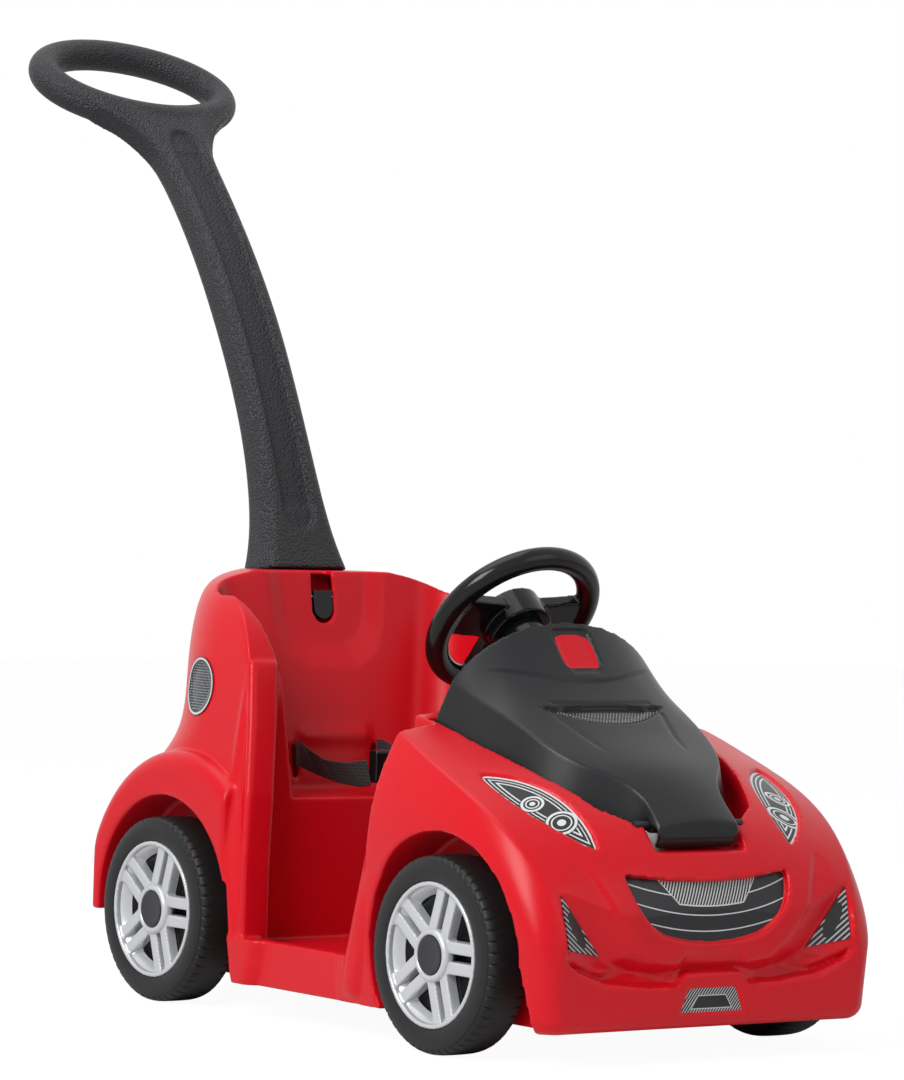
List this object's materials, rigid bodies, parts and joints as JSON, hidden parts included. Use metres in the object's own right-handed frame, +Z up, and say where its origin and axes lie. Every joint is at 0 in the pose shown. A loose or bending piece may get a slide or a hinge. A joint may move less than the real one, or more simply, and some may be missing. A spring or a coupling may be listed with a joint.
{
  "type": "ride-on push car with handle",
  "caption": "Child's ride-on push car: moulded open body with bucket seat, tipping black hood over a bin, steering wheel with horn, lap belt, wheels and a lift-out push handle.",
  "frame": {"origin": "on the ground under the middle of the overall box", "axes": "+X forwards out of the nose, +Y to the rider's left, +Z up"},
  "size_m": [1.0549, 0.42, 0.958],
  "materials": {
    "black_moulding": "satin",
    "bush_plastic": "smooth",
    "gloss_black": "gloss",
    "grained_charcoal": "pebble grain",
    "printed_film": "gloss print",
    "red_moulding": "smooth gloss",
    "silver_moulding": "silver",
    "steel": "bright",
    "tyre_black": "satin",
    "webbing": "woven"
  },
  "bodies": {
    "chassis": {"belt_buckle": "black_moulding", "belt_strap_left": "webbing", "belt_strap_right": "webbing", "body_shell": "red_moulding", "column_collar": "black_moulding", "dash_panel": "black_moulding", "front_axle": "steel", "front_axle_bushes": "bush_plastic", "front_push_nuts": "steel", "fuel_cap_disc": "printed_film", "grille_panel": "printed_film", "headlamp_panel_left": "printed_film", "headlamp_panel_right": "printed_film", "hood_pin": "steel", "latch_pin": "steel", "lower_intake_panel": "printed_film", "rear_axle": "steel", "rear_axle_bushes": "bush_plastic", "rear_push_nuts": "steel", "side_vent_panel_left": "printed_film", "side_vent_panel_right": "printed_film"},
    "hood": {"hood": "black_moulding", "hood_mesh_panel": "printed_film", "hood_badge_plate": "black_moulding"},
    "steering": {"steering_wheel": "gloss_black", "steering_shaft": "steel", "steering_clip": "steel"},
    "horn": {"horn_button": "gloss_black"},
    "handle": {"push_handle": "grained_charcoal"},
    "latch": {"latch_tab": "black_moulding"},
    "wheel_front_right": {"tyre_front_right": "tyre_black", "rim_front_right": "silver_moulding", "hub_cap_front_right": "gloss_black"},
    "wheel_front_left": {"tyre_front_left": "tyre_black", "rim_front_left": "silver_moulding", "hub_cap_front_left": "gloss_black"},
    "wheel_rear_right": {"tyre_rear_right": "tyre_black", "rim_rear_right": "silver_moulding", "hub_cap_rear_right": "gloss_black"},
    "wheel_rear_left": {"tyre_rear_left": "tyre_black", "rim_rear_left": "silver_moulding", "hub_cap_rear_left": "gloss_black"}
  },
  "joints": [
    {"name": "hood_hinge", "type": "hinge", "parent": "chassis", "child": "hood", "pos_m": [0.4845, 0, 0.207], "axis": [0, 1, 0], "range_deg": [0, 70]},
    {"name": "steering_turn", "type": "hinge", "parent": "chassis", "child": "steering", "pos_m": [0.2235, 0, 0.377], "axis": [-0.7431, 0, 0.6691], "continuous": true},
    {"name": "horn_press", "type": "slide", "parent": "steering", "child": "horn", "axis": [0.7431, 0, -0.6691], "range_m": [0, 0.003], "stiffness_N_per_m": 600},
    {"name": "handle_lift", "type": "slide", "parent": "chassis", "child": "handle", "axis": [-0.225, 0, 0.9744], "range_m": [0, 0.125]},
    {"name": "latch_press", "type": "hinge", "parent": "chassis", "child": "latch", "pos_m": [-0.0841, 0, 0.38659], "axis": [0, 1, 0], "range_deg": [0, 7], "stiffness_Nm_per_rad": 0.3},
    {"name": "roll_front_right", "type": "hinge", "parent": "chassis", "child": "wheel_front_right", "pos_m": [0.3875, -0.209, 0.088], "axis": [0, 1, 0], "continuous": true},
    {"name": "roll_front_left", "type": "hinge", "parent": "chassis", "child": "wheel_front_left", "pos_m": [0.3875, 0.209, 0.088], "axis": [0, 1, 0], "continuous": true},
    {"name": "roll_rear_right", "type": "hinge", "parent": "chassis", "child": "wheel_rear_right", "pos_m": [-0.0545, -0.209, 0.088], "axis": [0, 1, 0], "continuous": true},
    {"name": "roll_rear_left", "type": "hinge", "parent": "chassis", "child": "wheel_rear_left", "pos_m": [-0.0545, 0.209, 0.088], "axis": [0, 1, 0], "continuous": true}
  ]
}
